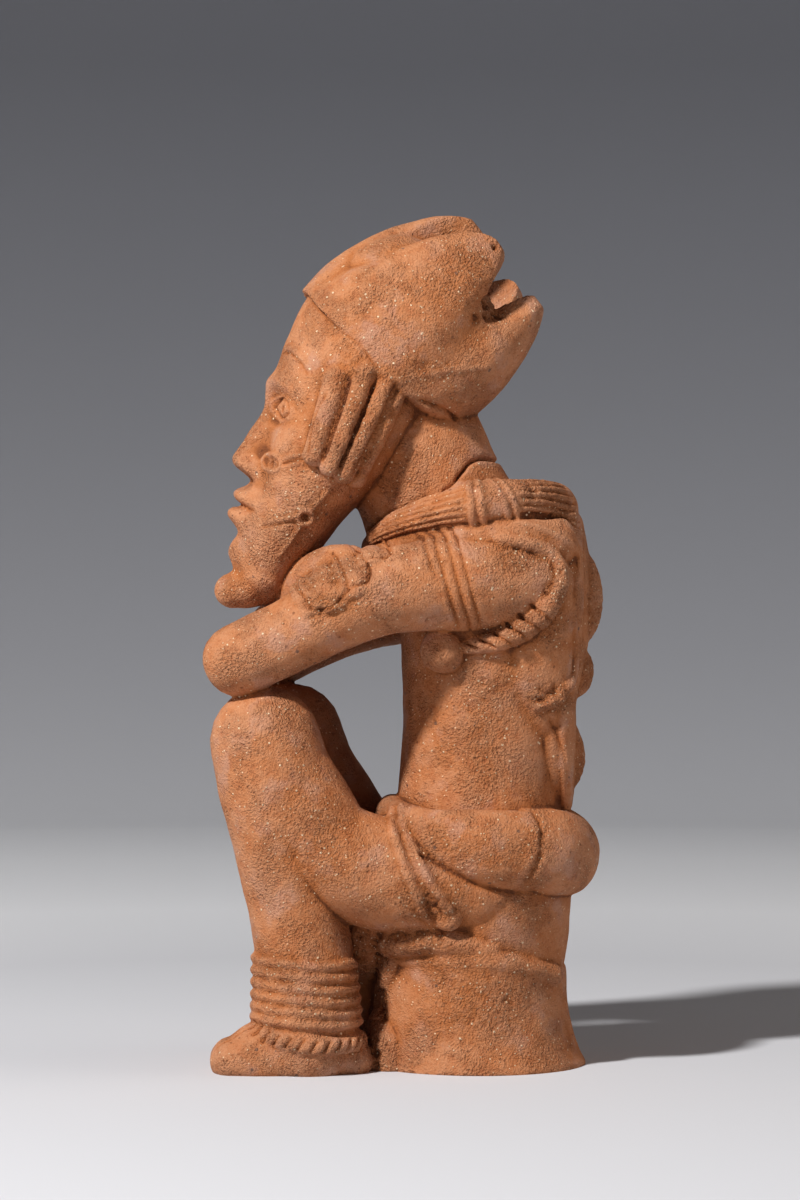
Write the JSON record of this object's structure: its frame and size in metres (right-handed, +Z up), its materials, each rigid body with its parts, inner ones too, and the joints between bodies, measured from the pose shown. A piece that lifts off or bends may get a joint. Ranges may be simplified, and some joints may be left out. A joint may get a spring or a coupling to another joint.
{
  "type": "seated terracotta figure",
  "caption": "Hollow fired-clay figure seated on a drum stool with knees drawn up, arms crossed on them and the chin resting on the arms, under a petalled bud-shaped headdress.",
  "frame": {"origin": "middle of the bounding box seen from above, at the level of the flat underside of the stool and feet", "axes": "+Z up, the figure faces -Y, +X is towards the figure's left shoulder"},
  "size_m": [0.1682, 0.2234, 0.4782],
  "materials": {
    "terracotta": "unglazed gritty fired clay, orange-brown, worn and chipped"
  },
  "bodies": {
    "root": {"figure": "terracotta"}
  },
  "joints": []
}
